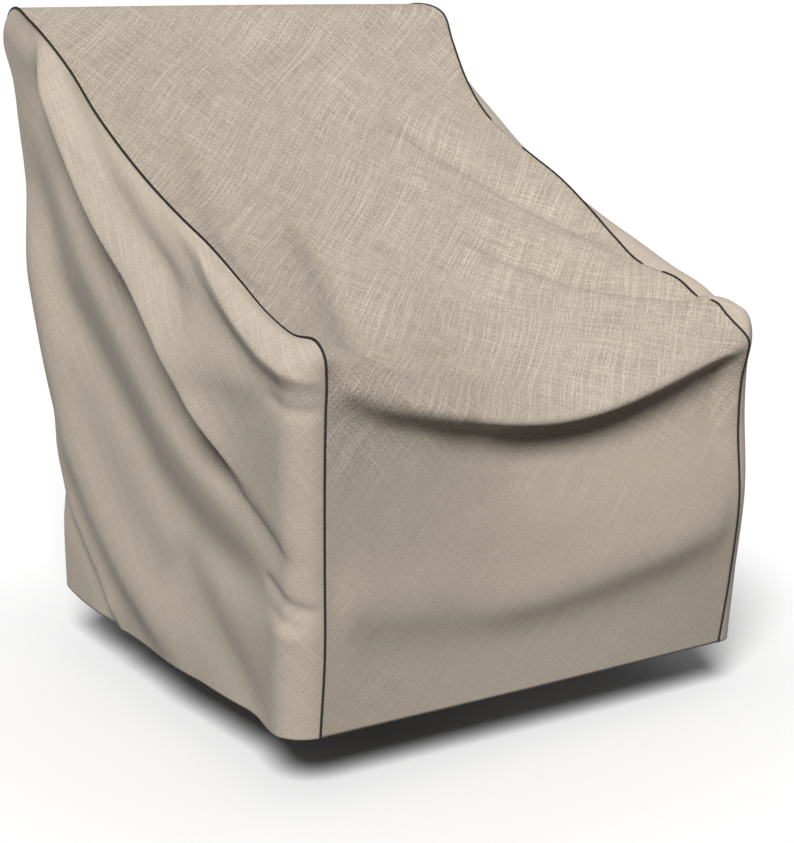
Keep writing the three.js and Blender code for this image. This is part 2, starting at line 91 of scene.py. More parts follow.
# Painted shadow: the floor's colour is scaled down to FLOOR_SHADE near FLOOR_CENTRE, under and around the
# cover.
floor_place = floor_nodes.new("ShaderNodeTexCoord")
floor_away = floor_nodes.new("ShaderNodeVectorMath")
floor_away.operation = "DISTANCE"
floor_away.inputs[1].default_value = FLOOR_CENTRE
floor_shade = floor_nodes.new("ShaderNodeMapRange")
floor_shade.interpolation_type = "SMOOTHSTEP"
floor_shade.inputs["From Min"].default_value = FLOOR_SHADE_FROM
floor_shade.inputs["From Max"].default_value = FLOOR_SHADE_TO
floor_shade.inputs["To Min"].default_value = FLOOR_SHADE
floor_shade.inputs["To Max"].default_value = 1
floor_tone = floor_nodes.new("ShaderNodeVectorMath")
floor_tone.operation = "SCALE"
floor_tone.inputs[0].default_value = FLOOR_COLOUR
floor_links.new(floor_place.outputs["Object"], floor_away.inputs[0])
floor_links.new(floor_away.outputs["Value"], floor_shade.inputs["Value"])
floor_links.new(floor_shade.outputs["Result"], floor_tone.inputs["Scale"])
floor_links.new(floor_tone.outputs["Vector"], floor_shader.inputs["Base Color"])
floor_shader.inputs["Roughness"].default_value = FLOOR_ROUGHNESS
floor_shader.inputs["Specular IOR Level"].default_value = FLOOR_SPECULAR
floor_mesh.materials.append(floor_paint)
floor.visible_diffuse = False

sky = bpy.data.worlds.new("studio_sky")
sky.use_nodes = True
sky_nodes = sky.node_tree.nodes
sky_links = sky.node_tree.links
sky_way = sky_nodes.new("ShaderNodeTexCoord")
sky_parts = sky_nodes.new("ShaderNodeSeparateXYZ")
sky_ramp = sky_nodes.new("ShaderNodeValToRGB")
sky_height = sky_nodes.new("ShaderNodeMapRange")
sky_height.inputs["From Min"].default_value = -1
sky_links.new(sky_way.outputs["Generated"], sky_parts.inputs[0])
sky_links.new(sky_parts.outputs["Z"], sky_height.inputs["Value"])
sky_links.new(sky_height.outputs["Result"], sky_ramp.inputs["Fac"])
sky_rays = sky_nodes.new("ShaderNodeLightPath")
sky_backdrop = sky_nodes.new("ShaderNodeMix")
sky_backdrop.data_type = "RGBA"
sky_backdrop.inputs["B"].default_value = BACKDROP_WHITE
sky_links.new(sky_rays.outputs["Is Camera Ray"], sky_backdrop.inputs["Factor"])
sky_links.new(sky_ramp.outputs["Color"], sky_backdrop.inputs["A"])
sky_links.new(sky_backdrop.outputs["Result"], sky_nodes["Background"].inputs["Color"])
for place, level in SKY_STOPS[1:-1]:
    sky_ramp.color_ramp.elements.new(place)
for element, (place, level) in zip(sky_ramp.color_ramp.elements, SKY_STOPS):
    element.position = place
    element.color = (level, level, level, 1)
scene.world = sky

key_data = bpy.data.lights.new("key_light", "SUN")
key_data.angle = KEY_SOFTNESS
key_data.energy = KEY_STRENGTH
key_data.color = WARM_WHITE
key = bpy.data.objects.new("key_light", key_data)
key.rotation_euler = (math.pi / 2 - KEY_RISE, 0, -KEY_TURN)
scene.collection.objects.link(key)

fill_data = bpy.data.lights.new("fill_light", "SUN")
fill_data.energy = FILL_STRENGTH
fill_data.angle = KEY_SOFTNESS
fill = bpy.data.objects.new("fill_light", fill_data)
fill.rotation_euler = (math.pi / 2, 0, -FILL_TURN)
scene.collection.objects.link(fill)

# Centre panel: one long strip of slubbed greige canvas, cut on the bias. It runs from the front
# hem up the skirt, over the seat and the top ridge, and down the back, and both of its long edges
# are sewn to the side panels. Its ends are hemmed on the cover but built here as plain edges.
HELD_AT = np.array([0.0, 0.801, 0.855])
SECTIONS = (
    # name, left seam, middle of the cloth (depth, height), right seam, from the hem's front middle
    ("front hem", (-0.311, 0.004, 0.000), (0.000, 0.000), (0.327, 0.001, 0.000)),
    ("low skirt", (-0.306, 0.000, 0.105), (0.000, 0.098), (0.333, -0.010, 0.100)),
    ("skirt", (-0.305, 0.000, 0.215), (-0.005, 0.198), (0.333, -0.022, 0.208)),
    ("high skirt", (-0.304, 0.000, 0.320), (-0.001, 0.286), (0.332, -0.015, 0.310)),
    ("under lip", (-0.302, 0.000, 0.398), (0.002, 0.327), (0.333, -0.017, 0.376)),
    ("lip", (-0.302, -0.003, 0.440), (-0.013, 0.349), (0.334, -0.025, 0.408)),
    ("lip top", (-0.306, -0.006, 0.471), (0.003, 0.367), (0.331, -0.029, 0.430)),
    ("arm corner", (-0.307, 0.012, 0.487), (0.036, 0.386), (0.321, -0.010, 0.452)),
    ("arm front", (-0.309, 0.063, 0.487), (0.074, 0.404), (0.318, 0.034, 0.477)),
    ("arm", (-0.312, 0.122, 0.506), (0.133, 0.434), (0.318, 0.100, 0.497)),
    ("arm rear", (-0.314, 0.185, 0.537), (0.200, 0.470), (0.304, 0.165, 0.512)),
    ("seat rear", (-0.316, 0.256, 0.570), (0.262, 0.506), (0.309, 0.226, 0.539)),
    ("low back", (-0.318, 0.334, 0.599), (0.335, 0.549), (0.324, 0.308, 0.574)),
    ("mid back", (-0.321, 0.418, 0.635), (0.415, 0.597), (0.334, 0.392, 0.610)),
    ("high middle", (-0.324, 0.494, 0.674), (0.488, 0.642), (0.320, 0.458, 0.646)),
    ("high back", (-0.327, 0.568, 0.718), (0.562, 0.691), (0.305, 0.530, 0.690)),
    ("shoulder", (-0.330, 0.643, 0.772), (0.638, 0.745), (0.313, 0.598, 0.738)),
    ("top rise", (-0.334, 0.724, 0.818), (0.718, 0.802), (0.339, 0.680, 0.800)),
    ("top front", (-0.337, 0.770, 0.840), (0.770, 0.843), (0.339, 0.706, 0.842)),
    ("top ridge", (-0.338, 0.811, 0.855), (0.801, 0.857), (0.338, 0.783, 0.857)),
    ("top rear", (-0.336, 0.846, 0.845), (0.831, 0.848), (0.333, 0.832, 0.844)),
    ("rear shoulder", (-0.335, 0.862, 0.808), (0.851, 0.806), (0.330, 0.851, 0.802)),
    ("ear pinch", (-0.330, 0.833, 0.755), (0.846, 0.752), (0.328, 0.841, 0.748)),
    ("high rear", (-0.327, 0.815, 0.660), (0.830, 0.655), (0.327, 0.823, 0.655)),
    ("mid rear", (-0.326, 0.789, 0.520), (0.803, 0.520), (0.326, 0.797, 0.520)),
    ("low rear", (-0.326, 0.751, 0.385), (0.764, 0.380), (0.326, 0.757, 0.380)),
    ("rear waist", (-0.326, 0.702, 0.242), (0.722, 0.240), (0.326, 0.714, 0.240)),
    ("rear skirt", (-0.326, 0.711, 0.118), (0.713, 0.118), (0.326, 0.711, 0.118)),
    ("rear hem", (-0.327, 0.709, 0.022), (0.706, 0.000), (0.327, 0.708, 0.014)),
)
SECTION_NAMES = [row[0] for row in SECTIONS]
LIP = SECTION_NAMES.index("lip")
ARM_CORNER = SECTION_NAMES.index("arm corner")
TOP_RIDGE = SECTION_NAMES.index("top ridge")
REAR_HEM = len(SECTIONS) - 1

# Each fold: name, path along its edge, trough depth, trough's shift to the left of the path, trough
# width right and left, crest height, crest width right and left. A negative depth is a swelling.
SKIRT_FOLDS = (
    ("lip crescent", ((0.62, 0.58), (0.45, 0.488), (0.37, 0.45), (0.317, 0.425), (0.264, 0.411),
                      (0.211, 0.393), (0.15, 0.375), (0.094, 0.365), (0.03, 0.363), (-0.05, 0.369),
                      (-0.16, 0.39)),
     0.020, 0.034, 0.022, 0.09, 0.005, 0.03, 0.02),
    ("lip shade", ((0.25, 0.405), (0.15, 0.375), (0.094, 0.365), (0.03, 0.363), (-0.05, 0.369),
                   (-0.14, 0.385), (-0.26, 0.418)),
     0.004, 0.034, 0.026, 0.09, 0, 0.02, 0.02),
    ("lip swelling", ((-0.31, 0.436), (-0.275, 0.43), (-0.22, 0.405), (-0.16, 0.39), (-0.08, 0.375)),
     -0.009, 0, 0.018, 0.03, 0, 0.02, 0.02),
    ("swag", ((-0.34, 0.17), (-0.2, 0.147), (0, 0.128), (0.14, 0.142), (0.34, 0.182)),
     -0.007, 0, 0.038, 0.05, 0, 0.02, 0.02),
    ("right swag", ((-0.12, 0.116), (0, 0.122), (0.1, 0.136), (0.2, 0.154), (0.3, 0.178), (0.46, 0.22)),
     -0.004, 0, 0.026, 0.04, 0, 0.02, 0.02),
)
SEAT_FOLDS = (
    ("high arm trough", ((0.12, 0.56), (0.155, 0.49), (0.186, 0.444), (0.21, 0.396), (0.231, 0.342),
                         (0.252, 0.284), (0.275, 0.234), (0.305, 0.18)),
     0.012, 0.014, 0.018, 0.034, 0.006, 0.03, 0.010),
    ("arm ridge", ((0.09, 0.48), (0.15, 0.38), (0.21, 0.29), (0.26, 0.21), (0.3, 0.15)),
     -0.004, 0, 0.024, 0.024, 0, 0.02, 0.02),
    ("arm trough", ((0.09, 0.32), (0.131, 0.259), (0.171, 0.197), (0.209, 0.146), (0.252, 0.097),
                    (0.299, 0.045), (0.34, 0.005)),
     0.012, 0.014, 0.016, 0.032, 0.006, 0.03, 0.010),
    ("corner trough", ((0.15, 0.04), (0.205, 0.016), (0.263, -0.01), (0.33, -0.03)),
     0.007, 0, 0.018, 0.02, 0, 0.02, 0.02),
    ("left back trough", ((-0.19, 0.53), (-0.211, 0.471), (-0.248, 0.354), (-0.286, 0.234), (-0.297, 0.15)),
     0.007, 0, 0.03, 0.05, 0, 0.02, 0.02),
    ("left arm trough", ((-0.1, 0.38), (-0.13, 0.29), (-0.15, 0.22), (-0.172, 0.15), (-0.2, 0.07),
                         (-0.22, 0.02)),
     0.015, 0, 0.034, 0.046, 0, 0.02, 0.02),
)
BACK_FOLDS = (
    ("left drag", ((-0.3, 0.8), (-0.17, 0.56), (-0.06, 0.38)),
     0.007, 0, 0.04, 0.046, 0, 0.02, 0.02),
    ("right drag", ((0.3, 0.8), (0.19, 0.54), (0.09, 0.33)),
     0.008, 0, 0.04, 0.044, 0, 0.02, 0.02),
    ("waist", ((-0.32, 0.236), (0, 0.252), (0.32, 0.236)),
     0.008, 0, 0.044, 0.05, 0, 0.02, 0.02),
)
# Each tuck of the right seam: its section, its depth, and the sections it fades over ahead and behind.
RIGHT_TUCKS = ((8.42, 0.009, 0.17, 0.42), (7.66, -0.003, 0.2, 0.2))
TUCK_REACH = 0.07
FOLD_FADE = 0.18
EDGE_POWER = 1.15
FOLD_STEPS = 80
LENGTH_STEPS = 1200
FOLD_REACH = 2.6
PARABOLA = 0.6
HUMP = 1 - PARABOLA
SEAM_FADE = 0.06
CENTRE_STEPS = {"front": 124, "top": 228, "back": 110, "cross": 150}
CENTRE_FLAT = (0.68, 2.36)
CENTRE_LEAN = (1.05, 1.55)
CENTRE_BEND = 0.42
CLOTH_THICKNESS = 0.0014


def smooth(value):
    value = np.clip(value, 0, 1)
    return value * value * (3 - 2 * value)


def hanging_line(points):
    """A smooth line through points, read by section number."""
    points = np.array(points, float)
    padded = np.vstack([2 * points[0] - points[1], points, 2 * points[-1] - points[-2]])
    gaps = np.sqrt(np.linalg.norm(np.diff(padded, axis=0), axis=1))

    def at(section):
        section = np.asarray(section, float)
        first = np.clip(section.astype(int), 0, len(points) - 2)
        part = (section - first)[..., None]
        p0, p1, p2, p3 = (padded[first + k] for k in range(4))
        d0, d1, d2 = (gaps[first + k][..., None] for k in range(3))
        leave = ((p1 - p0) / d0 - (p2 - p0) / (d0 + d1) + (p2 - p1) / d1) * d1
        arrive = ((p2 - p1) / d1 - (p3 - p1) / (d1 + d2) + (p3 - p2) / d2) * d1
        square = -3 * p1 + 3 * p2 - 2 * leave - arrive
        cube = 2 * p1 - 2 * p2 + leave + arrive
        return p1 + leave * part + square * part ** 2 + cube * part ** 3

    return at


left_seam = hanging_line([row[1] for row in SECTIONS])
right_seam = hanging_line([row[3] for row in SECTIONS])
middle_line = hanging_line([((row[1][0] + row[3][0]) / 2, *row[2]) for row in SECTIONS])


def tuck_drop(section):
    """How far the small tucks of the right seam pull it down, or push it up, at a section."""
    section = np.asarray(section, float)
    drop = np.zeros(section.shape)
    for place, depth, ahead, behind in RIGHT_TUCKS:
        away = section - place
        drop += depth * np.exp(-((away / np.where(away < 0, ahead, behind)) ** 2))
    return drop


def tucked_right_seam(section):
    line = right_seam(section)
    line[..., 2] -= tuck_drop(section)
    return line


def section_steps(start, end, steps):
    """Section numbers at even steps of cloth between two sections."""
    fine = np.linspace(start, end, LENGTH_STEPS)
    line = middle_line(fine) + left_seam(fine)
    length = np.concatenate([[0], np.cumsum(np.linalg.norm(np.diff(line, axis=0), axis=1))])
    return np.interp(np.linspace(0, length[-1], steps + 1), length, fine)


def fold_path(points):
    """A smooth flat path through the points that were chosen for a fold."""
    points = np.array(points, float)
    padded = np.vstack([points[:1], points, points[-1:]])
    place = np.linspace(0, len(points) - 1, FOLD_STEPS + 1)
    first = np.minimum(place.astype(int), len(points) - 2)
    part = (place - first)[:, None]
    p0, p1, p2, p3 = (padded[first + k] for k in range(4))
    leave, arrive = (p2 - p0) / 2, (p3 - p1) / 2
    square = -3 * p1 + 3 * p2 - 2 * leave - arrive
    return (2 * p1 - 2 * p2 + leave + arrive) * part ** 3 + square * part ** 2 + leave * part + p1


def fold_height(fold, a, b):
    """Height of one fold over flat places a, b, from the nearest point of its path."""
    path, depth, shift, right_width, left_width, crest, spread, fall = fold[1:]
    line = fold_path(path)
    margin = FOLD_REACH * max(right_width, shift + left_width, 2 * spread)
    low, high = line.min(axis=0) - margin, line.max(axis=0) + margin
    near = (a > low[0]) & (a < high[0]) & (b > low[1]) & (b < high[1])
    near_a, near_b = a[near], b[near]
    nearest = np.full(near_a.shape, np.inf)
    offset = np.zeros(near_a.shape)
    along = np.zeros(near_a.shape)
    for index, (start, step) in enumerate(zip(line[:-1], np.diff(line, axis=0))):
        away_a, away_b = near_a - start[0], near_b - start[1]
        part = np.clip((away_a * step[0] + away_b * step[1]) / (step @ step), 0, 1)
        distance = np.hypot(away_a - part * step[0], away_b - part * step[1])
        nearer = distance < nearest
        nearest[nearer] = distance[nearer]
        side_of = np.sign(step[0] * away_b - step[1] * away_a)
        offset[nearer] = (side_of * distance)[nearer]
        along[nearer] = (index + part[nearer]) / FOLD_STEPS
    from_trough = offset - shift
    trough = -depth * np.exp(-((from_trough / np.where(from_trough < 0, right_width, left_width)) ** 2))
    edge = crest * np.exp(-((np.abs(offset) / np.where(offset < 0, spread, fall)) ** EDGE_POWER))
    height = np.zeros(a.shape)
    height[near] = (trough + edge) * smooth(along / FOLD_FADE) * smooth((1 - along) / FOLD_FADE)
    return height


def all_folds(folds, a, b):
    return sum(fold_height(fold, a, b) for fold in folds)


def grid_normals(grid, outward):
    """Unit normals of a grid of points, on the side that outward says."""
    normals = np.cross(np.gradient(grid, axis=0), np.gradient(grid, axis=1))
    return outward * normals / np.linalg.norm(normals, axis=2, keepdims=True)


def cloth_piece(name, grid, outward, uv, thickness):
    """One sheet of cloth with a fine outer face, an inner face of every second point, and a rim."""
    rows, columns = grid.shape[:2]
    inner = (grid - thickness * grid_normals(grid, outward))[::2, ::2]
    inner_rows, inner_columns = inner.shape[:2]
    outer_at = np.arange(rows * columns).reshape(rows, columns)
    inner_at = rows * columns + np.arange(inner_rows * inner_columns).reshape(inner_rows, inner_columns)
    turn = slice(None) if outward > 0 else slice(None, None, -1)

    def cells(index):
        corners = [index[:-1, :-1], index[1:, :-1], index[1:, 1:], index[:-1, 1:]]
        return np.stack([c.ravel() for c in corners], axis=1)

    faces = [list(face)[turn] for face in cells(outer_at).tolist()]
    faces += [list(face)[::-1][turn] for face in cells(inner_at).tolist()]
    edges = (
        (outer_at[:, 0], inner_at[:, 0], True),
        (outer_at[:, -1], inner_at[:, -1], False),
        (outer_at[0], inner_at[0], False),
        (outer_at[-1], inner_at[-1], True),
    )
    for outer_edge, inner_edge, flip in edges:
        for k in range(len(inner_edge) - 1):
            rim = [*outer_edge[2 * k:2 * k + 3], inner_edge[k + 1], inner_edge[k]]
            rim = [int(v) for v in rim]
            faces.append((rim[::-1] if flip else rim)[turn])
    points = np.vstack([grid.reshape(-1, 3), inner.reshape(-1, 3)]) - HELD_AT
    flat = np.vstack([uv.reshape(-1, 2), uv[::2, ::2].reshape(-1, 2)])
    mesh = bpy.data.meshes.new(name)
    mesh.from_pydata(points.tolist(), [], faces)
    corner_points = np.zeros(len(mesh.loops), np.int32)
    mesh.loops.foreach_get("vertex_index", corner_points)
    mesh.uv_layers.new(name="cloth").data.foreach_set("uv", flat[corner_points].ravel())
    mesh.polygons.foreach_set("use_smooth", np.ones(len(mesh.polygons), bool))
    piece = bpy.data.objects.new(name, mesh)
    scene.collection.objects.link(piece)
    return piece


def thread_places(width, length, lean, bend):
    """How far across the rising and the falling threads each place on the flat cloth lies."""
    rising = (width - length / lean[0]) / math.hypot(1, 1 / lean[0])
    falling = (width + lean[1] * length - bend * length ** 2) / math.hypot(1, lean[1])
    return np.stack(np.broadcast_arrays(falling, rising), axis=2)


front_stations = section_steps(0, ARM_CORNER, CENTRE_STEPS["front"])
top_stations = section_steps(ARM_CORNER, TOP_RIDGE, CENTRE_STEPS["top"])
back_stations = section_steps(TOP_RIDGE, REAR_HEM, CENTRE_STEPS["back"])
stations = np.concatenate([front_stations, top_stations[1:], back_stations[1:]])[:, None]
across = np.linspace(0, 1, CENTRE_STEPS["cross"] + 1)[None, :]
left_edge, right_edge = left_seam(stations), right_seam(stations)
sag = middle_line(stations) - (left_edge + right_edge) / 2
sag_share = PARABOLA * 4 * across * (1 - across) + HUMP * np.sin(np.pi * across) ** 2
centre_grid = left_edge + (right_edge - left_edge) * across[..., None] + sag * sag_share[..., None]
from_right = (1 - across) * (right_edge - left_edge)[..., 0]
centre_grid[..., 2] -= tuck_drop(stations) * smooth(1 - from_right / TUCK_REACH)

past_lip = smooth(stations - LIP)
near_ridge = smooth(stations - TOP_RIDGE + 1)
past_ridge = smooth(stations - TOP_RIDGE - 1)
x, y, z = np.moveaxis(centre_grid, 2, 0)
centre_height = (1 - past_lip) * all_folds(SKIRT_FOLDS, x, z)
centre_height += past_lip * (1 - near_ridge) * all_folds(SEAT_FOLDS, x, y)
centre_height += past_ridge * all_folds(BACK_FOLDS, x, z)
centre_height *= smooth(np.minimum(across, 1 - across) / SEAM_FADE)
centre_grid = centre_grid + centre_height[..., None] * grid_normals(centre_grid, -1)

centre_length = np.linalg.norm(np.diff(centre_grid, axis=0), axis=2).mean(axis=1)
centre_length = np.concatenate([[0], np.cumsum(centre_length)])
centre_width = (across - 0.5) * CENTRE_FLAT[0]
centre_threads = thread_places(centre_width, centre_length[:, None], CENTRE_LEAN, CENTRE_BEND)
centre_panel = cloth_piece("centre_panel_canvas", centre_grid, -1, centre_threads, CLOTH_THICKNESS)

LIGHT_THREAD = (0.66, 0.583, 0.494, 1)
DARK_THREAD = (0.33, 0.277, 0.224, 1)
CANVAS_ROUGHNESS = 0.88
CANVAS_SPECULAR = 0.22
CANVAS_SHEEN = 0.12
CANVAS_SHEEN_ROUGHNESS = 0.5
SLUB = {"length": 0.16, "width": 0.0026, "peak": (0.5, 0.68), "detail": 1, "falling": 11, "rising": 23}
THREAD = {"length": 0.03, "width": 0.0022, "peak": (0.3, 0.7), "detail": 2, "falling": 37, "rising": 51}
GRAIN = {"length": 0.0024, "width": 0.0014, "peak": (0.25, 0.75), "detail": 0, "falling": 5, "rising": 71}
FALLING_SLUB_SHARE = 0.6
SLUB_LEVEL = 0.55
PATCH_SIZE = 0.05
PATCH_PEAK = (0.3, 0.7)
PATCH_CONTRAST = (0.5, 1.3)
RELIEF_SHARES = {"slub": 0.30, "thread": 0.24, "grain": 0.40}
WEAVE_BUMP = {"strength": 0.5, "distance": 0.0008}
UPRIGHT_BELOW = -0.56
UPRIGHT_BLEND = 0.1
CENTRE_TONE = 0.5
CENTRE_CONTRAST = {"lying": 1.0, "upright": 0.36}


def canvas(name, tone_and_painted_light, contrast):
    """Slubbed canvas on the bias: thin light slubs, threads both ways and a fine grain. The weave
    shows less low down, where the cloth hangs upright."""
    material = bpy.data.materials.new(name)
    material.use_nodes = True
    nodes, links = material.node_tree.nodes, material.node_tree.links
    shader = nodes["Principled BSDF"]
    shader.inputs["Roughness"].default_value = CANVAS_ROUGHNESS
    shader.inputs["Specular IOR Level"].default_value = CANVAS_SPECULAR
    shader.inputs["Sheen Weight"].default_value = CANVAS_SHEEN
    shader.inputs["Sheen Roughness"].default_value = CANVAS_SHEEN_ROUGHNESS
    cloth_map = nodes.new("ShaderNodeUVMap")
    cloth_map.uv_map = "cloth"

    def calculate(operation, *values):
        node = nodes.new("ShaderNodeMath")
        node.operation = operation
        for socket, value in zip(node.inputs, values):
            if isinstance(value, (int, float)):
                socket.default_value = value
            else:
                links.new(value, socket)
        return node.outputs[0]

    def ranged(value, low, high, to_low=0, to_high=1):
        node = nodes.new("ShaderNodeMapRange")
        links.new(value, node.inputs["Value"])
        limits = {"From Min": low, "From Max": high, "To Min": to_low, "To Max": to_high}
        for socket, limit in limits.items():
            node.inputs[socket].default_value = limit
        return node.outputs["Result"]

    def streaks(kind, way):
        scaled = nodes.new("ShaderNodeMapping")
        scale = (1 / kind["width"], 1 / kind["length"])
        scaled.inputs["Scale"].default_value = (*(scale if way == "falling" else scale[::-1]), 1)
        scaled.inputs["Location"].default_value = (kind[way], 3 * kind[way], 0)
        noise = nodes.new("ShaderNodeTexNoise")
        noise.noise_dimensions = "2D"
        noise.inputs["Scale"].default_value = 1
        noise.inputs["Detail"].default_value = kind["detail"]
        links.new(cloth_map.outputs["UV"], scaled.inputs["Vector"])
        links.new(scaled.outputs["Vector"], noise.inputs["Vector"])
        return ranged(noise.outputs["Fac"], *kind["peak"])

    place = nodes.new("ShaderNodeTexCoord")
    patches = nodes.new("ShaderNodeTexNoise")
    patches.inputs["Scale"].default_value = 1 / PATCH_SIZE
    links.new(place.outputs["Object"], patches.inputs["Vector"])
    patch = ranged(patches.outputs["Fac"], *PATCH_PEAK, *PATCH_CONTRAST)
    falling_slubs = streaks(SLUB, "falling")
    slubs = calculate("MULTIPLY_ADD", falling_slubs, FALLING_SLUB_SHARE, streaks(SLUB, "rising"))
    slubs = calculate("MULTIPLY", calculate("SUBTRACT", slubs, SLUB_LEVEL), patch)
    threads = calculate("ADD", streaks(THREAD, "falling"), streaks(THREAD, "rising"))
    grain = calculate("ADD", streaks(GRAIN, "falling"), streaks(GRAIN, "rising"))
    relief = calculate("MULTIPLY", slubs, RELIEF_SHARES["slub"])
    for weave, kind in ((threads, "thread"), (grain, "grain")):
        centred = calculate("SUBTRACT", weave, 1)
        relief = calculate("MULTIPLY_ADD", centred, RELIEF_SHARES[kind], relief)
    height = nodes.new("ShaderNodeSeparateXYZ")
    links.new(place.outputs["Object"], height.inputs[0])
    lying_above = UPRIGHT_BELOW + UPRIGHT_BLEND
    contrasts = (contrast["upright"], contrast["lying"])
    shown = ranged(height.outputs["Z"], UPRIGHT_BELOW, lying_above, *contrasts)
    relief = calculate("MULTIPLY", relief, shown)
    # The tone level is the canvas's base tone; for the side panels it also holds painted light.
    tone = calculate("ADD", relief, tone_and_painted_light)
    colour = nodes.new("ShaderNodeMix")
    colour.data_type = "RGBA"
    colour.inputs["A"].default_value = DARK_THREAD
    colour.inputs["B"].default_value = LIGHT_THREAD
    links.new(tone, colour.inputs["Factor"])
    links.new(colour.outputs["Result"], shader.inputs["Base Color"])
    bump = nodes.new("ShaderNodeBump")
    bump.inputs["Strength"].default_value = WEAVE_BUMP["strength"]
    bump.inputs["Distance"].default_value = WEAVE_BUMP["distance"]
    links.new(relief, bump.inputs["Height"])
    links.new(bump.outputs["Normal"], shader.inputs["Normal"])
    return material


centre_panel.data.materials.append(canvas("centre_canvas", CENTRE_TONE, CENTRE_CONTRAST))
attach(centre_panel, "root")
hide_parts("centre_panel")

# Side panels: one shaped piece of the same canvas on each side, sewn all round to the centre
# panel's edges but for the hem. They pull back from the arm to the top corner in long slack folds.
# Their canvas is toned lighter than the centre panel's, as painted light on the sides.
LEFT_SIDE = {"sign": -1, "face": 0.346, "front_round": 0.038, "top_round": 0.070, "rear_round": 0.022}
RIGHT_SIDE = {"sign": 1, "face": 0.358, "front_round": 0.027, "top_round": 0.034, "rear_round": 0.024}
LEFT_FOLDS = (
    ("main crease", ((0.752, 0.826), (0.71, 0.776), (0.663, 0.728), (0.602, 0.672), (0.545, 0.618),
                     (0.493, 0.575), (0.437, 0.539), (0.378, 0.503), (0.322, 0.463), (0.272, 0.42),
                     (0.222, 0.376), (0.165, 0.33), (0.105, 0.286)),
     0.015, 0.032, 0.022, 0.05, 0.029, 0.044, 0.013),
    ("low crease", ((0.361, 0.417), (0.277, 0.366), (0.206, 0.328), (0.125, 0.285), (0.056, 0.251),
                    (0, 0.215)),
     0.007, 0.012, 0.018, 0.034, 0.002, 0.02, 0.01),
    ("arm swelling", ((0.42, 0.49), (0.33, 0.446), (0.25, 0.432), (0.17, 0.43), (0.1, 0.434),
                      (0.02, 0.45)),
     -0.006, 0, 0.04, 0.03, 0, 0.02, 0.02),
    ("second ridge", ((0.7, 0.66), (0.64, 0.575), (0.588, 0.514), (0.455, 0.409), (0.338, 0.328),
                      (0.199, 0.272), (0.071, 0.233)),
     -0.005, 0, 0.03, 0.03, 0, 0.02, 0.02),
    ("second trough", ((0.79, 0.72), (0.738, 0.634), (0.698, 0.559), (0.652, 0.478), (0.586, 0.43),
                       (0.507, 0.372), (0.43, 0.317), (0.371, 0.274), (0.285, 0.236), (0.188, 0.207),
                       (0.085, 0.196), (0.01, 0.182)),
     0.011, 0.024, 0.04, 0.04, 0, 0.02, 0.02),
    ("upper trough", ((0.705, 0.806), (0.65, 0.756), (0.598, 0.71), (0.541, 0.665), (0.482, 0.624),
                      (0.42, 0.588), (0.36, 0.553), (0.302, 0.515), (0.245, 0.474)),
     0.013, 0, 0.023, 0.026, 0, 0.02, 0.02),
    ("arm trough", ((0.42, 0.66), (0.33, 0.604), (0.26, 0.563), (0.197, 0.524), (0.133, 0.488),
                    (0.076, 0.463), (0.025, 0.447), (-0.02, 0.435)),
     0.007, 0.018, 0.016, 0.034, 0.010, 0.030, 0.012),
    ("rear crease", ((0.71, 0.28), (0.672, 0.209), (0.648, 0.154), (0.598, 0.106), (0.549, 0.066),
                     (0.518, 0.03), (0.48, -0.01)),
     0.006, 0.018, 0.016, 0.03, 0.012, 0.04, 0.012),
    ("corner trough", ((0.32, 0.19), (0.26, 0.135), (0.19, 0.082), (0.125, 0.04), (0.085, -0.01)),
     0.007, 0.012, 0.036, 0.045, 0, 0.02, 0.02),
    ("corner swelling", ((0.03, 0.15), (0.04, 0.1), (0.045, 0.04), (0.045, -0.03)),
     -0.007, 0, 0.026, 0.030, 0, 0.02, 0.02),
    ("upper pinch", ((0.07, 0.42), (0.03, 0.408), (0, 0.405), (-0.03, 0.404)),
     0.002, 0, 0.008, 0.010, 0, 0.02, 0.02),
    ("low pinch", ((0.085, 0.193), (0.048, 0.181), (0.014, 0.167), (-0.02, 0.156)),
     0.003, 0, 0.008, 0.012, 0, 0.02, 0.02),
    ("low swelling", ((0.785, 0.61), (0.755, 0.51), (0.722, 0.42), (0.685, 0.335), (0.635, 0.255),
                      (0.56, 0.175), (0.46, 0.1), (0.35, 0.04), (0.25, -0.01)),
     -0.016, 0, 0.054, 0.04, 0, 0.02, 0.02),
)
RIGHT_FOLDS = (
    ("main crease", ((0.77, 0.8), (0.64, 0.66), (0.47, 0.52), (0.26, 0.39), (0.07, 0.31)),
     0.008, 0.034, 0.032, 0.042, 0.012, 0.05, 0.03),
    ("second trough", ((0.8, 0.69), (0.69, 0.5), (0.52, 0.34), (0.33, 0.24), (0.06, 0.17)),
     0.012, 0, 0.036, 0.044, 0, 0.02, 0.02),
    ("rear crease", ((0.72, 0.3), (0.66, 0.19), (0.58, 0.09), (0.52, -0.01)),
     0.007, 0.012, 0.02, 0.03, 0.004, 0.03, 0.016),
    ("low swelling", ((0.64, 0.42), (0.5, 0.19), (0.38, 0.07), (0.2, 0)),
     -0.006, 0, 0.06, 0.06, 0, 0.02, 0.02),
)
FOLD_CLEAR = 0.026
HEM_LIFT_POWER = 16
MOST_INSET = 1.9
SIDE_LEAN = (1.0, 1.0)
# Painted light: the side panels' tone is set lighter than CENTRE_TONE to brighten the sides.
SIDE_TONE_WITH_PAINTED_LIGHT = 0.64
SIDE_CONTRAST = {"lying": 0.5, "upright": 0.4}
SIDE_STEPS = {"left": (280, 230), "right": (200, 160)}


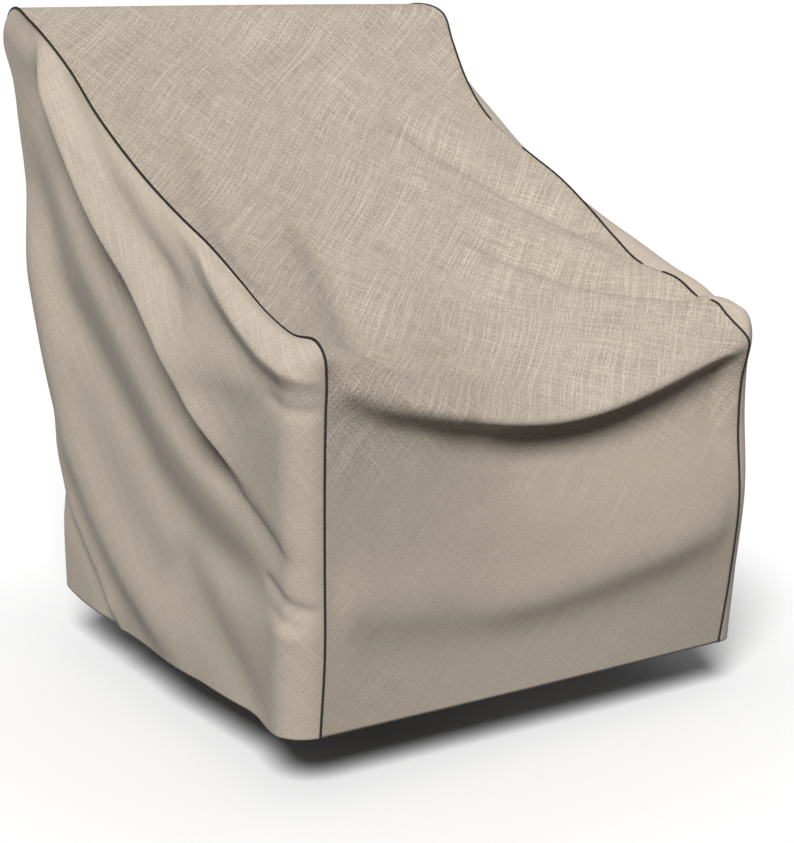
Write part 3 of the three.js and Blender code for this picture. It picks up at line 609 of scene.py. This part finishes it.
def around_edge(distance, edge_radius, inset):
    """Cloth that leaves a seam and turns round an edge onto the face: how far it still stands in,
    as a length and as a share, how far it has come along the face, and the length that it spares."""
    radius = np.maximum(edge_radius, inset / MOST_INSET)
    start = np.arcsin(1 - inset / radius)
    angle = np.minimum(np.pi / 2, start + distance / radius)
    pull = radius * (1 - np.sin(angle))
    share = (1 - np.sin(angle)) / (1 - np.sin(start))
    travel = radius * (np.cos(start) - np.cos(angle)) + distance - radius * (angle - start)
    spare = radius * (np.pi / 2 - start - np.cos(start))
    return pull, share, travel, spare


def length_shares(points):
    length = np.concatenate([[0], np.cumsum(np.linalg.norm(np.diff(points, axis=0), axis=1))])
    return length / length[-1]


def side_grid(side, seam, run_steps, rise_steps):
    """A four-sided patch between the front, top and rear of its seam and the hem, turned round
    those edges. Also its places on the flat cloth."""
    front = seam(section_steps(0, ARM_CORNER, rise_steps))[None, :]
    top = seam(section_steps(ARM_CORNER, TOP_RIDGE, run_steps))[:, None]
    rear = seam(section_steps(TOP_RIDGE, REAR_HEM, rise_steps))[::-1][None, :]
    a = length_shares(top[:, 0])[:, None]
    b = length_shares(front[0])[None, :] * (1 - a) + length_shares(rear[0])[None, :] * a
    hem_y = front[0, 0, 1] * (1 - a) + rear[0, 0, 1] * a
    hem_z = front[0, 0, 2] * (1 - a ** HEM_LIFT_POWER) + rear[0, 0, 2] * a ** HEM_LIFT_POWER

    def blended(axis, hem):
        up = hem * (1 - b) + top[..., axis] * b
        over = front[..., axis] * (1 - a) + rear[..., axis] * a
        low = front[0, 0, axis] * (1 - a) + rear[0, 0, axis] * a
        high = top[0, 0, axis] * (1 - a) + top[-1, 0, axis] * a
        return up + over - low * (1 - b) - high * b

    flat_y, flat_z = blended(1, hem_y), blended(2, hem_z)
    inset = [side["face"] - side["sign"] * edge[..., 0] for edge in (front, rear, top)]
    depth = rear[..., 1] - front[..., 1]
    front_spare = around_edge(0, side["front_round"], inset[0])[3]
    rear_spare = around_edge(0, side["rear_round"], inset[1])[3]
    top_spare = around_edge(0, side["top_round"], inset[2])[3]
    width = depth + front_spare + rear_spare
    from_front = (flat_y - front[..., 1]) / depth * width
    from_top = (1 - flat_z / top[..., 2]) * (top[..., 2] + top_spare)
    front_pull, front_share, front_travel, _ = around_edge(
        np.maximum(0, from_front), side["front_round"], inset[0])
    rear_pull, rear_share, rear_travel, _ = around_edge(
        np.maximum(0, width - from_front), side["rear_round"], inset[1])
    top_pull, top_share, top_travel, _ = around_edge(np.maximum(0, from_top), side["top_round"], inset[2])
    ends = front_share * inset[2][0] + rear_share * inset[2][-1]
    pull = front_pull + rear_pull + top_pull - top_share * ends
    turned_y = front[..., 1] + front_travel - (rear_spare - (width - from_front - rear_travel))
    turned_z = top[..., 2] - top_travel
    new_y = turned_y * (1 - top_share) + flat_y * top_share
    side_share = np.maximum(front_share, rear_share)
    new_z = turned_z * (1 - side_share) + flat_z * side_share
    grid = np.stack([side["sign"] * (side["face"] - pull), new_y, new_z], axis=2)
    return grid, thread_places(from_front, top[..., 2] - from_top, SIDE_LEAN, 0)


def folded_side(name, side, seam, folds, run_steps, rise_steps):
    grid, uv = side_grid(side, seam, run_steps, rise_steps)
    to_edge = [np.linalg.norm(grid - edge, axis=2) for edge in (grid[:1], grid[-1:], grid[:, -1:])]
    free = smooth(np.minimum.reduce(to_edge) / FOLD_CLEAR)
    height = free * all_folds(folds, grid[..., 1], grid[..., 2])
    grid = grid + height[..., None] * grid_normals(grid, side["sign"])
    return cloth_piece(name, grid, side["sign"], uv, CLOTH_THICKNESS)


side_canvas_painted_lighter = canvas("side_canvas_painted_lighter", SIDE_TONE_WITH_PAINTED_LIGHT, SIDE_CONTRAST)
for way, side, seam, folds in (
    ("left", LEFT_SIDE, left_seam, LEFT_FOLDS),
    ("right", RIGHT_SIDE, tucked_right_seam, RIGHT_FOLDS),
):
    panel = folded_side("side_panel_" + way + "_canvas", side, seam, folds, *SIDE_STEPS[way])
    panel.data.materials.append(side_canvas_painted_lighter)
    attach(panel, "root")
    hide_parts("side_panel_" + way)

# Piping: a near-black bias tape folded over a thin cord and sewn into each seam between the
# centre panel and a side panel, from the front hem to the rear hem.
CORD_RADIUS = 0.0017
CORD_SIDES = 10
CORD_STEPS = 520
PIPING_COLOUR = (0.014, 0.010, 0.008, 1)
WORN_COLOUR = (0.0308, 0.022, 0.0176, 1)
PIPING_ROUGHNESS = 0.55
PIPING_SPECULAR = 0.35
PIPING_WEAVE_SCALE = 900
PIPING_WEAVE_DEPTH = 0.0003
# The stretches of the right seam, by section, where the cloth laps over the piping.
RIGHT_HIDDEN = ((8.02, 8.38), (9.46, 9.88), (14.1, 14.9))
HIDDEN_DEPTH = 0.006
HIDDEN_EASE = 0.16

piping_tape = bpy.data.materials.new("piping_tape")
piping_tape.use_nodes = True
tape_nodes, tape_links = piping_tape.node_tree.nodes, piping_tape.node_tree.links
tape_shader = tape_nodes["Principled BSDF"]
tape_shader.inputs["Roughness"].default_value = PIPING_ROUGHNESS
tape_shader.inputs["Specular IOR Level"].default_value = PIPING_SPECULAR
tape_weave = tape_nodes.new("ShaderNodeTexNoise")
tape_weave.inputs["Scale"].default_value = PIPING_WEAVE_SCALE
tape_place = tape_nodes.new("ShaderNodeTexCoord")
tape_colour = tape_nodes.new("ShaderNodeMix")
tape_colour.data_type = "RGBA"
tape_colour.inputs["A"].default_value = PIPING_COLOUR
tape_colour.inputs["B"].default_value = WORN_COLOUR
tape_bump = tape_nodes.new("ShaderNodeBump")
tape_bump.inputs["Distance"].default_value = PIPING_WEAVE_DEPTH
tape_links.new(tape_place.outputs["Object"], tape_weave.inputs["Vector"])
tape_links.new(tape_weave.outputs["Fac"], tape_colour.inputs["Factor"])
tape_links.new(tape_colour.outputs["Result"], tape_shader.inputs["Base Color"])
tape_links.new(tape_weave.outputs["Fac"], tape_bump.inputs["Height"])
tape_links.new(tape_bump.outputs["Normal"], tape_shader.inputs["Normal"])

piping_tree = bpy.data.node_groups.new("sewn_piping", "GeometryNodeTree")
piping_tree.interface.new_socket("Geometry", in_out="INPUT", socket_type="NodeSocketGeometry")
radius_socket = piping_tree.interface.new_socket(
    "Cord Radius", in_out="INPUT", socket_type="NodeSocketFloat")
sides_socket = piping_tree.interface.new_socket(
    "Cord Sides", in_out="INPUT", socket_type="NodeSocketInt")
piping_tree.interface.new_socket("Geometry", in_out="OUTPUT", socket_type="NodeSocketGeometry")
piping_in = piping_tree.nodes.new("NodeGroupInput")
piping_round = piping_tree.nodes.new("GeometryNodeCurvePrimitiveCircle")
piping_sweep = piping_tree.nodes.new("GeometryNodeCurveToMesh")
piping_sweep.inputs["Fill Caps"].default_value = True
piping_smooth = piping_tree.nodes.new("GeometryNodeSetShadeSmooth")
piping_realize = piping_tree.nodes.new("GeometryNodeRealizeInstances")
piping_material = piping_tree.nodes.new("GeometryNodeSetMaterial")
piping_material.inputs["Material"].default_value = piping_tape
piping_out = piping_tree.nodes.new("NodeGroupOutput")
for source, target in (
    (piping_in.outputs["Geometry"], piping_sweep.inputs["Curve"]),
    (piping_in.outputs["Cord Radius"], piping_round.inputs["Radius"]),
    (piping_in.outputs["Cord Sides"], piping_round.inputs["Resolution"]),
    (piping_round.outputs["Curve"], piping_sweep.inputs["Profile Curve"]),
    (piping_sweep.outputs["Mesh"], piping_smooth.inputs["Geometry"]),
    (piping_smooth.outputs["Geometry"], piping_realize.inputs["Geometry"]),
    (piping_realize.outputs["Geometry"], piping_material.inputs["Geometry"]),
    (piping_material.outputs["Geometry"], piping_out.inputs["Geometry"]),
):
    piping_tree.links.new(source, target)


def sewn_piping(name, seam, hidden):
    """The piping of one seam, swept along it by the node tree and made a plain mesh. It lies under
    the cloth in its hidden stretches, where a tuck laps over it."""
    places = section_steps(0, REAR_HEM, CORD_STEPS)
    line = seam(places) - HELD_AT
    for start, end in hidden:
        under = smooth(0.5 + (places - start) / HIDDEN_EASE)
        under = under * smooth(0.5 + (end - places) / HIDDEN_EASE)
        line[:, 2] -= HIDDEN_DEPTH * under
    curve = bpy.data.curves.new(name + "_line", "CURVE")
    curve.dimensions = "3D"
    spline = curve.splines.new("POLY")
    spline.points.add(len(line) - 1)
    spline.points.foreach_set("co", np.column_stack([line, np.ones(len(line))]).ravel())
    guide = bpy.data.objects.new(name + "_line", curve)
    scene.collection.objects.link(guide)
    sweep = guide.modifiers.new("sewn_piping", "NODES")
    sweep.node_group = piping_tree
    sweep[radius_socket.identifier] = CORD_RADIUS
    sweep[sides_socket.identifier] = CORD_SIDES
    evaluated = guide.evaluated_get(bpy.context.evaluated_depsgraph_get())
    mesh = bpy.data.meshes.new_from_object(evaluated)
    mesh.name = name
    piece = bpy.data.objects.new(name, mesh)
    scene.collection.objects.link(piece)
    bpy.data.objects.remove(guide)
    return piece


for node, seam, hidden in (
    ("piping_left", left_seam, ()),
    ("piping_right", tucked_right_seam, RIGHT_HIDDEN),
):
    piping = sewn_piping(node + "_tape", seam, hidden)
    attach(piping, "root")
    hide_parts(node)
